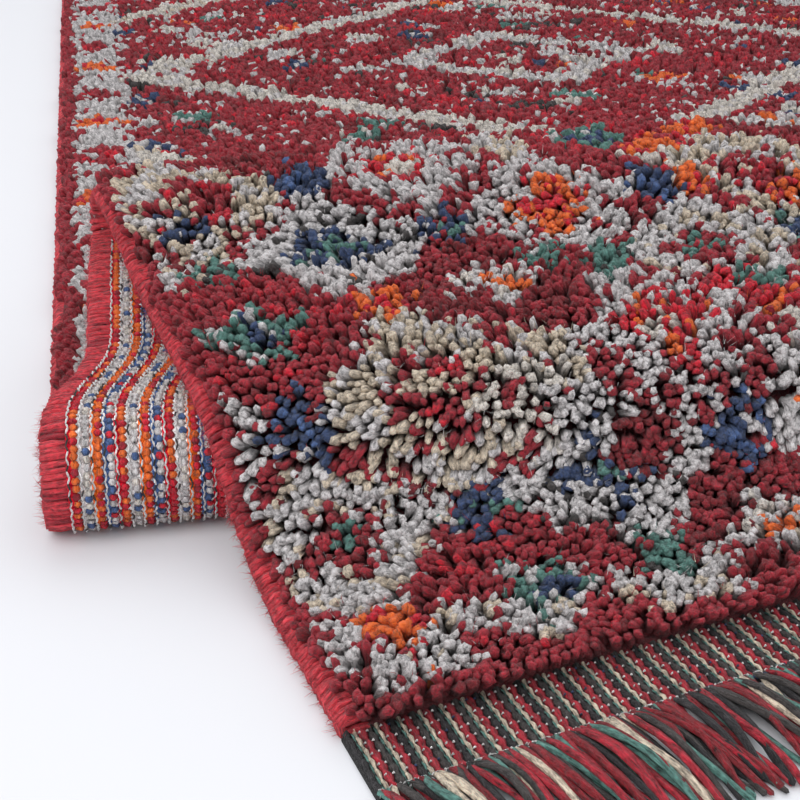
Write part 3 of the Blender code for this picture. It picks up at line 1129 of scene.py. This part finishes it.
class RUG_OT_back_knots(Operator):
    """Raise the knots and chain stitches where the underside shows"""

    bl_idname = "rug.back_knots"
    bl_label = "Knots of the back"

    def execute(self, context):
        rng = np.random.default_rng(SEEDS["back"])
        lines = np.arange(*BACK_ACROSS, BACK_PITCH_ACROSS)
        self.knots(lines, rng)
        self.chain_stitches(np.append(lines, lines[-1] + BACK_PITCH_ACROSS), rng)
        return {"FINISHED"}

    def knots(self, lines, rng):
        """A column of knots after each line, in the colours of the columns by turns."""
        along = np.arange(*BACK_ALONG, BACK_PITCH_ALONG)
        column, row = numbered_grid(lines, along)
        u = lines[column] + 0.5 * BACK_PITCH_ACROSS + rng.normal(0, KNOT_JITTER[0], column.shape)
        s = along[row] + KNOT_STAGGER * BACK_PITCH_ALONG * (column % 2)
        s = s + rng.normal(0, KNOT_JITTER[1], column.shape)
        colours = np.zeros(column.shape, int)
        for number, (main, second, share, third, third_share) in enumerate(BACK_COLUMNS):
            pick = rng.uniform(size=column.shape)
            here = column % len(BACK_COLUMNS) == number
            colours[here] = DYE[main]
            colours[here & (pick < share)] = DYE[second]
            colours[here & (pick > 1 - third_share)] = DYE[third]
        place, sideways, lengthways, upward = ground(u, s)
        middle = place - KNOT_SINK * upward
        half = 0.5 * BACK_PITCH_ALONG * lengthways
        centres = np.stack([middle + share * half for share, wide in KNOT_RINGS], axis=1)
        radii = np.stack([wide * KNOT_RADIUS * rng.uniform(*KNOT_SWELL, u.shape)
                          for share, wide in KNOT_RINGS], axis=1)
        radii = np.repeat(radii[..., None], KNOT_SIDES, axis=2)
        side_a = at_rings(sideways, len(KNOT_RINGS))
        side_b = at_rings(-KNOT_FLATNESS * upward, len(KNOT_RINGS))
        yarns = tubes(centres, side_a, side_b, radii, KNOT_SIDES, colours, middle + KNOT_TIP * half)
        add_yarns("back_knots", yarns, "rug_field")

    def chain_stitches(self, lines, rng):
        """The pale chain stitches between the columns."""
        links = np.arange(*BACK_ALONG, CHAIN_PITCH)
        column, row = numbered_grid(lines, links)
        u = lines[column] + rng.normal(0, CHAIN_JITTER[0], column.shape)
        s = links[row] + rng.normal(0, CHAIN_JITTER[1], column.shape)
        place, sideways, lengthways, upward = ground(u, s)
        reach = CHAIN_REACH * CHAIN_PITCH * lengthways + CHAIN_LEAN * by_turns(row) * sideways
        colours = np.where(rng.uniform(size=u.shape) < CHAIN_WHITE, DYE["white"], DYE["charcoal"])
        yarns = short_stitches(place, reach, upward, CHAIN_HEIGHTS, sideways, -upward,
                               CHAIN_RADII, colours)
        add_yarns("back_chain_stitches", yarns, "rug_field")


def tuft_places(u_from, u_to, s_from, s_to, pitch, sizes, rng):
    """Where a zone's tufts are tied, in staggered rows with an uneven hand."""
    row_pitch = pitch * math.sqrt(3) / 2
    rows = np.arange(s_from + 0.5 * row_pitch, s_to, row_pitch)
    columns = np.arange(u_from + 0.3 * pitch, u_to, pitch)
    u, s = np.meshgrid(columns, rows)
    u = u + 0.5 * pitch * (np.arange(len(rows))[:, None] % 2)
    u = u + rng.uniform(-TUFT_JITTER, TUFT_JITTER, u.shape) * pitch
    s = s + rng.uniform(-TUFT_JITTER, TUFT_JITTER, s.shape) * pitch
    inset = TUFT_EDGE_COVER * sizes.selvage_width
    keep = ((u > inset) & (u < sizes.width - inset)
            & (s > TUFT_INSET) & (s < sizes.length - TUFT_INSET))
    return u[keep], s[keep]


def combed_pile(u, s, sizes, rng):
    """How far each tuft is pushed across and along, and how close it is to a side."""
    combed = np.random.default_rng(SEEDS["combing"])
    push_u, push_s = (layered_waves(combed, u, s, COMBED_WAVES) + push for push in COMBED)
    left = np.exp(-np.maximum(u - RIM_START, 0) / RIM_REACH)
    right = np.exp(-np.maximum(sizes.width - u - RIM_START, 0) / RIM_REACH)
    front = np.exp(-s / END_REACH)
    far = np.exp(-(sizes.length - s) / END_REACH)
    push_u += RIM_PUSH[1] * right - RIM_PUSH[0] * left
    push_s += END_PUSH * (far - front)
    push_u += rng.normal(0.0, UNCOMBED, u.shape)
    push_s += rng.normal(0.0, UNCOMBED, u.shape)
    return push_u, push_s, left + right


def tuft_curve(lean, shares):
    """For each ring, how far out and up it lies as shares of the tuft, and its tilt."""
    steps = np.linspace(0.0, shares[-1], TUFT_BEND_STEPS + 1)
    angle = lean[:, None] * (TUFT_BEND[0] + TUFT_BEND[1] * steps[None, :])
    middle = 0.5 * (angle[:, 1:] + angle[:, :-1])
    out = running_sum(np.sin(middle) * np.diff(steps))
    rise = running_sum(np.cos(middle) * np.diff(steps))
    for share in shares:
        cell = min(int(share / shares[-1] * TUFT_BEND_STEPS), TUFT_BEND_STEPS - 1)
        part = (share - steps[cell]) / (steps[cell + 1] - steps[cell])
        out_at, rise_at = (sums[:, cell] + part * (sums[:, cell + 1] - sums[:, cell])
                           for sums in (out, rise))
        yield out_at, rise_at, lean * (TUFT_BEND[0] + TUFT_BEND[1] * share)


class RUG_OT_pile(Operator):
    """Tie the tufts of the pile, each in the colour of the design"""

    bl_idname = "rug.pile"
    bl_label = "Pile"

    def execute(self, context):
        sizes = context.scene.rug_sizes
        for number, (name, *reach, pitch, sides, rings) in enumerate(PILE_ZONES):
            rng = np.random.default_rng(SEEDS["pile"] + number)
            u, s = tuft_places(*reach, pitch, sizes, rng)
            self.tie(name, u, s, pitch, sides, rings, sizes, rng)
        return {"FINISHED"}

    def tie(self, name, u, s, pitch, sides, rings, sizes, rng):
        """Make one zone's tufts as a single mesh."""
        push_u, push_s, rim = combed_pile(u, s, sizes, rng)
        push = np.hypot(push_u, push_s)
        lean = np.clip(push, *TUFT_LEAN)
        place, sideways, lengthways, upward = ground(u, s)
        way = (push_u / push)[:, None] * sideways + (push_s / push)[:, None] * lengthways
        length = (sizes.pile_height - TUFT_ROOT) * rng.normal(*TUFT_LENGTH, u.shape)
        length *= 1.0 + LEAN_LONGER * lean - RIM_SHORTER * rim
        length = np.clip(length, TUFT_SHORTEST, TUFT_LONGEST * sizes.pile_height)
        radius = TUFT_THICKNESS * pitch * rng.uniform(*TUFT_SWELL, u.shape)
        shares, widths = np.array([*TUFT_RINGS[rings], (TUFT_TIP[rings], 0.0)]).T
        centres, side_a = [], []
        for out, rise, tilt in tuft_curve(lean, shares):
            centres.append(place + (TUFT_ROOT + rise * length)[:, None] * upward
                           + (out * length)[:, None] * way)
            side_a.append(np.cos(tilt)[:, None] * way - np.sin(tilt)[:, None] * upward)
        *centres, tip = centres
        side_a = np.stack(side_a[:-1], axis=1)
        side_b = at_rings(np.cross(upward, way), rings)
        spin = rng.uniform(0.0, 2 * math.pi, u.shape)[:, None, None]
        turned_a = np.cos(spin) * side_a + np.sin(spin) * side_b
        turned_b = np.cos(spin) * side_b - np.sin(spin) * side_a
        # Two plies, twisted: an oval section that turns along the tuft
        around = 2 * math.pi * np.arange(sides) / sides
        twist = rng.uniform(0.0, 2 * math.pi, u.shape)[:, None] + TUFT_PLY_TWIST * shares[:-1]
        plies = 1.0 + TUFT_PLY_DEPTH * np.cos(2 * (around - twist[:, :, None]))
        uneven = plies * rng.uniform(*TUFT_UNEVENNESS, (len(u), rings, sides))
        radii = radius[:, None, None] * widths[None, :-1, None] * uneven
        tufts = tubes(np.stack(centres, axis=1), turned_a, turned_b, radii, sides, design(u, s), tip)
        # Painted shade: each tuft darker towards its root, times a lightness that differs at random
        # from tuft to tuft
        per_vertex = np.append(np.repeat(shares[:-1], sides), shares[-1])
        light = np.clip(SHADE_AT_ROOT + LIGHT_GAIN_TO_TIP * per_vertex ** SHADE_CURVE, 0.0, 1.0)
        tone = light * rng.uniform(*TONE_SPREAD, (len(u), 1))
        dress(build_mesh(name, *tufts, kind="wool", tone=tone), "rug_field")


class RUG_OT_selvages(Operator):
    """Overcast both long edges with turns of red wool"""

    bl_idname = "rug.selvages"
    bl_label = "Overcast edges"

    def execute(self, context):
        sizes = context.scene.rug_sizes
        for name, right, pitch, sides, seed in EDGES:
            rng = np.random.default_rng(seed)
            start = np.arange(EDGE_START, sizes.length - EDGE_END, pitch)
            start = start + rng.normal(0.0, EDGE_JITTER, start.shape)
            swell = rng.uniform(*EDGE_SWELL, start.shape)[:, None, None]
            points = []
            for across, height, share in EDGE_TURN:
                u = across + rng.normal(0.0, EDGE_WANDER, start.shape)
                u = sizes.width - u if right else u
                points.append(lay(u, start + EDGE_SLANT * share, np.full(start.shape, height)))
            centres = np.stack(points, axis=1)
            run = unit(np.gradient(centres, axis=1))
            edge = np.full(start.shape, sizes.width if right else 0.0)
            lengthways = ground(edge, start)[2][:, None, :]
            side_a = unit(lengthways - (lengthways * run).sum(axis=-1, keepdims=True) * run)
            side_b = np.cross(run, side_a)
            uneven = rng.uniform(*EDGE_UNEVENNESS, (len(start), len(EDGE_TURN), sides))
            radii = EDGE_THICKNESS * pitch * swell * uneven
            red = rng.uniform(size=start.shape) < EDGE_RED_SHARE
            colours = np.where(red, DYE["edge_red"], DYE["crimson"])
            yarns = tubes(centres, side_a, side_b, radii, sides, colours)
            add_yarns("overcast_" + name, yarns, "selvage", name)
        return {"FINISHED"}


class RUG_OT_end_strips(Operator):
    """Weave the flat strip at each end, with its warps and weft stitches"""

    bl_idname = "rug.end_strips"
    bl_label = "Flat-woven ends"

    def execute(self, context):
        sizes = context.scene.rug_sizes
        for end in ENDS:
            root = end["at"] * sizes.length
            inner, outer = (root + end["way"] * reach for reach in (END_SEAM, sizes.strip_length))
            rows = np.linspace(min(inner, outer), max(inner, outer), END_GRID[1])
            columns = np.linspace(END_INSET, sizes.width - END_INSET, END_GRID[0])
            name = "end_cloth_" + end["name"]
            piece = woven_sheet(name, columns, rows, END_CLOTH, material("black", "yarn"))
            dress(piece, "fringe", "fringe_" + end["name"])
            self.warps(end, root, sizes)
            self.wefts(end, root, sizes)
        return {"FINISHED"}

    def warps(self, end, root, sizes):
        """The coloured warps that lie side by side along the strip."""
        rng = np.random.default_rng(SEEDS["warps"])
        middles, halves, colours = [], [], []
        at = WARP_MARGINS[0]
        while at < sizes.width - WARP_MARGINS[1]:
            colour, width = WARP_ORDER[len(colours) % len(WARP_ORDER)]
            half = 0.5 * sizes.warp_pitch * width
            middles.append(at + half)
            halves.append(half)
            colours.append(DYE[colour])
            at += 2 * half
        u, wide = np.array(middles)[:, None], np.array(halves)[:, None, None]
        share = np.linspace(WARP_TUCK, 1.0, end["warp_rings"])
        s = root + end["way"] * sizes.strip_length * share * np.ones(u.shape)
        ripple = 0.8 * np.cos(math.pi * (np.arange(len(share)) + np.arange(len(u))[:, None]))
        sway = layered_waves(rng, u * np.ones_like(s), s, (WARP_SWAY,))
        points = lay(u + sway, s, WARP_HEIGHT + WARP_RIPPLE * ripple)
        radii = wide * (1.02 + 0.12 * ripple[..., None]) * np.ones(WARP_SIDES)
        yarns = tubes(points, *path_sides(points), radii, WARP_SIDES, np.array(colours))
        add_yarns("end_warps_" + end["name"], yarns, "fringe")

    def wefts(self, end, root, sizes):
        """The pale weft stitches that dot the strip, and the chain that ends it."""
        rng = np.random.default_rng(SEEDS["stitches"])
        repeat = sizes.warp_pitch * sum(row[1] for row in WARP_ORDER) / 2
        start = WARP_MARGINS[0] + sizes.warp_pitch * WEFT_START
        line = np.arange(start, sizes.width - WEFT_MARGIN, repeat)
        line = np.sort(np.concatenate([line, line + WEFT_PAIR * sizes.warp_pitch]))
        shares = WARP_TUCK + WEFT_ROW_PITCH * np.arange(1, WEFT_ROWS, end["stitch_step"])
        u, share = (grid.ravel() for grid in np.meshgrid(line, shares))
        u = u + rng.normal(0, WEFT_JITTER[0], u.shape)
        share = share + rng.normal(0, WEFT_JITTER[1], u.shape)
        dots = len(u)
        chain = np.arange(CLOSING_MARGIN, sizes.width - CLOSING_MARGIN, end["chain_pitch"])
        u = np.concatenate([u, chain, chain + CLOSING_SHIFT])
        share = np.concatenate([share, np.repeat(CLOSING_ROWS, len(chain))])
        s = root + end["way"] * sizes.strip_length * share
        place, sideways, lengthways, upward = ground(u, s)
        dotted = (np.arange(len(u)) < dots)[:, None]
        lean = np.where(dotted, 0.0, CLOSING_LEAN) * by_turns(np.arange(len(u)))
        reach = np.where(dotted, WEFT_REACH, CLOSING_REACH) * (sideways + lean * lengthways)
        colours = np.where(rng.uniform(size=u.shape) < WEFT_WHITE, DYE["white"], DYE["navy"])
        yarns = short_stitches(place, reach, upward, WEFT_HEIGHTS, upward, lengthways,
                               WEFT_RADII, colours)
        add_yarns("end_stitches_" + end["name"], yarns, "fringe")


def mixed_yarns(count, rng):
    """The dyes of the fringe in their shares, with no two alike side by side."""
    shares = np.cumsum([share for colour, share in FRINGE_COLOURS])
    picks = np.searchsorted(shares, rng.uniform(size=count) * shares[-1])
    for k in range(1, count):
        while picks[k] == picks[k - 1]:
            picks[k] = np.searchsorted(shares, rng.uniform() * shares[-1])
    return np.array([DYE[FRINGE_COLOURS[pick][0]] for pick in picks])


class RUG_OT_fringe(Operator):
    """Let the warp yarns fall loose past each strip"""

    bl_idname = "rug.fringe"
    bl_label = "Fringe"

    def execute(self, context):
        sizes = context.scene.rug_sizes
        for end in ENDS:
            rng = np.random.default_rng(SEEDS["fringe"])
            u = np.arange(FRINGE_MARGIN, sizes.width - FRINGE_MARGIN, sizes.fringe_pitch)
            u = u + rng.normal(0.0, FRINGE_JITTER, u.shape)
            column = (len(u), 1)
            colours = mixed_yarns(len(u), rng)
            share = np.linspace(0.0, 1.0, end["yarn_rings"])
            length = sizes.fringe_length * rng.uniform(*FRINGE_LENGTH, column)
            swing = FRINGE_SLANT + layered_waves(rng, u, 0 * u, (FRINGE_SWING,))
            swing = swing + rng.normal(0.0, FRINGE_STRAY, u.shape)
            curl = rng.normal(0.0, FRINGE_CURL, column)
            curl = curl * np.sin(math.pi * (share * rng.uniform(*FRINGE_CURL_TURNS, column)))
            drift = swing[:, None] * share ** 1.4 + curl
            radius = FRINGE_RADIUS * rng.uniform(*FRINGE_SWELL, column)
            layer = (np.arange(len(u)) % 2 + rng.integers(0, FRINGE_LAYERS, u.shape))[:, None]
            lift = FRINGE_LAYER * layer * np.sin(math.pi * np.clip(share * 1.05, 0, 1)) ** 0.8
            height = radius + FRINGE_CLEARANCE + lift + FRINGE_ROOT_HEIGHT * (1 - share)
            s = end["at"] * sizes.length + end["way"] * (
                sizes.strip_length - FRINGE_TUCK + length * share)
            points = lay(u[:, None] + drift, s, height)
            points[..., 2] = np.maximum(points[..., 2], radius)
            taper = 0.80 + 0.30 * np.clip(6 * share, 0, 1) - 0.25 * share ** 3
            sides = end["yarn_sides"]
            uneven = rng.uniform(*FRINGE_UNEVENNESS, (len(u), len(share), sides))
            radii = (radius * taper)[..., None] * uneven
            tip = points[:, -1] + FRINGE_TIP * unit(points[:, -1] - points[:, -2])
            yarns = tubes(points, *path_sides(points), radii, sides, colours, tip)
            add_yarns("fringe_yarns_" + end["name"], yarns, "fringe")
        return {"FINISHED"}


class RUG_OT_stray_fibres(Operator):
    """Pull a few loose fibres out of the wool where it shows closely"""

    bl_idname = "rug.stray_fibres"
    bl_label = "Stray fibres"

    def execute(self, context):
        sizes = context.scene.rug_sizes
        rng = np.random.default_rng(SEEDS["fibres"])
        count = sizes.stray_fibres
        on_edge = rng.uniform(size=count) < FIBRES_ON_EDGE
        u, s = (np.where(on_edge, rng.uniform(*edge, count), rng.uniform(*pile, count))
                for edge, pile in FIBRE_REACH)
        height = np.where(on_edge, rng.uniform(*FIBRE_HEIGHTS, count),
                          sizes.pile_height - FIBRE_DEPTH)
        colours = np.where(on_edge, DYE["edge_red"], design(np.maximum(u, 0.0), s))
        place, sideways, lengthways, upward = ground(u, s)
        way_u = rng.normal(0, 1, count) - np.where(on_edge, 0.9, 0.0)
        way_s = rng.normal(0, 1, count)
        outward = unit(way_u[:, None] * sideways + way_s[:, None] * lengthways
                       + np.where(on_edge, 0.2, 0.9)[:, None] * upward)
        bend = unit(np.stack([rng.normal(0, 1, count) for axis in range(3)], axis=1))
        reach = rng.uniform(*FIBRE_LENGTHS, count)[:, None]
        root = place + height[:, None] * upward
        centres = np.stack([root + reach * (part * outward + FIBRE_CURL * part ** 2 * bend)
                            for part in (0.0, 0.5, 1.0)], axis=1)
        centres[..., 2] = np.maximum(centres[..., 2], FIBRE_FLOOR)
        half = np.array(FIBRE_HALF_WIDTHS)[:, None] * path_sides(centres)[0]
        vertices = np.stack([centres - half, centres + half], axis=2).reshape(count, 6, 3)
        # Two flat quads a fibre, across its three pairs of points
        quads = 6 * np.arange(count)[:, None, None] + np.array([[0, 1, 3, 2], [2, 3, 5, 4]])
        fibres = vertices, [quads.reshape(-1, 4)], [np.repeat(colours, 2)], vertices
        add_yarns("stray_fibres", fibres, "rug_field")
        return {"FINISHED"}


class RUG_PT_panel(Panel):
    """The rug's sizes, dyes and steps"""

    bl_idname = "RUG_PT_panel"
    bl_label = "Folded shag rug"
    bl_space_type = "VIEW_3D"
    bl_region_type = "UI"
    bl_category = "Rug"

    def draw(self, context):
        scene = context.scene
        for group in (scene.rug_sizes, scene.rug_colours, scene.rug_stage):
            box = self.layout.box()
            for name in group.__annotations__:
                box.prop(group, name)
        for step in STEPS:
            self.layout.operator(step.bl_idname)


STEPS = (
    RUG_OT_stage, RUG_OT_ground, RUG_OT_back_knots, RUG_OT_pile, RUG_OT_selvages,
    RUG_OT_end_strips, RUG_OT_fringe, RUG_OT_stray_fibres,
)
CLASSES = (RugSizes, RugColours, RugStage, *STEPS, RUG_PT_panel)


def register():
    """Add the classes, and keep their settings on the scene."""
    for made in CLASSES:
        bpy.utils.register_class(made)
    bpy.types.Scene.rug_sizes = PointerProperty(type=RugSizes)
    bpy.types.Scene.rug_colours = PointerProperty(type=RugColours)
    bpy.types.Scene.rug_stage = PointerProperty(type=RugStage)


def unregister():
    """Take the settings and the classes away again."""
    del bpy.types.Scene.rug_stage
    del bpy.types.Scene.rug_colours
    del bpy.types.Scene.rug_sizes
    for made in reversed(CLASSES):
        bpy.utils.unregister_class(made)


def main():
    """Make the whole rug."""
    register()
    bpy.ops.rug.stage()
    bpy.ops.rug.ground()
    bpy.ops.rug.back_knots()
    bpy.ops.rug.pile()
    bpy.ops.rug.selvages()
    bpy.ops.rug.end_strips()
    bpy.ops.rug.fringe()
    bpy.ops.rug.stray_fibres()
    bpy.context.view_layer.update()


if __name__ == "__main__":
    main()
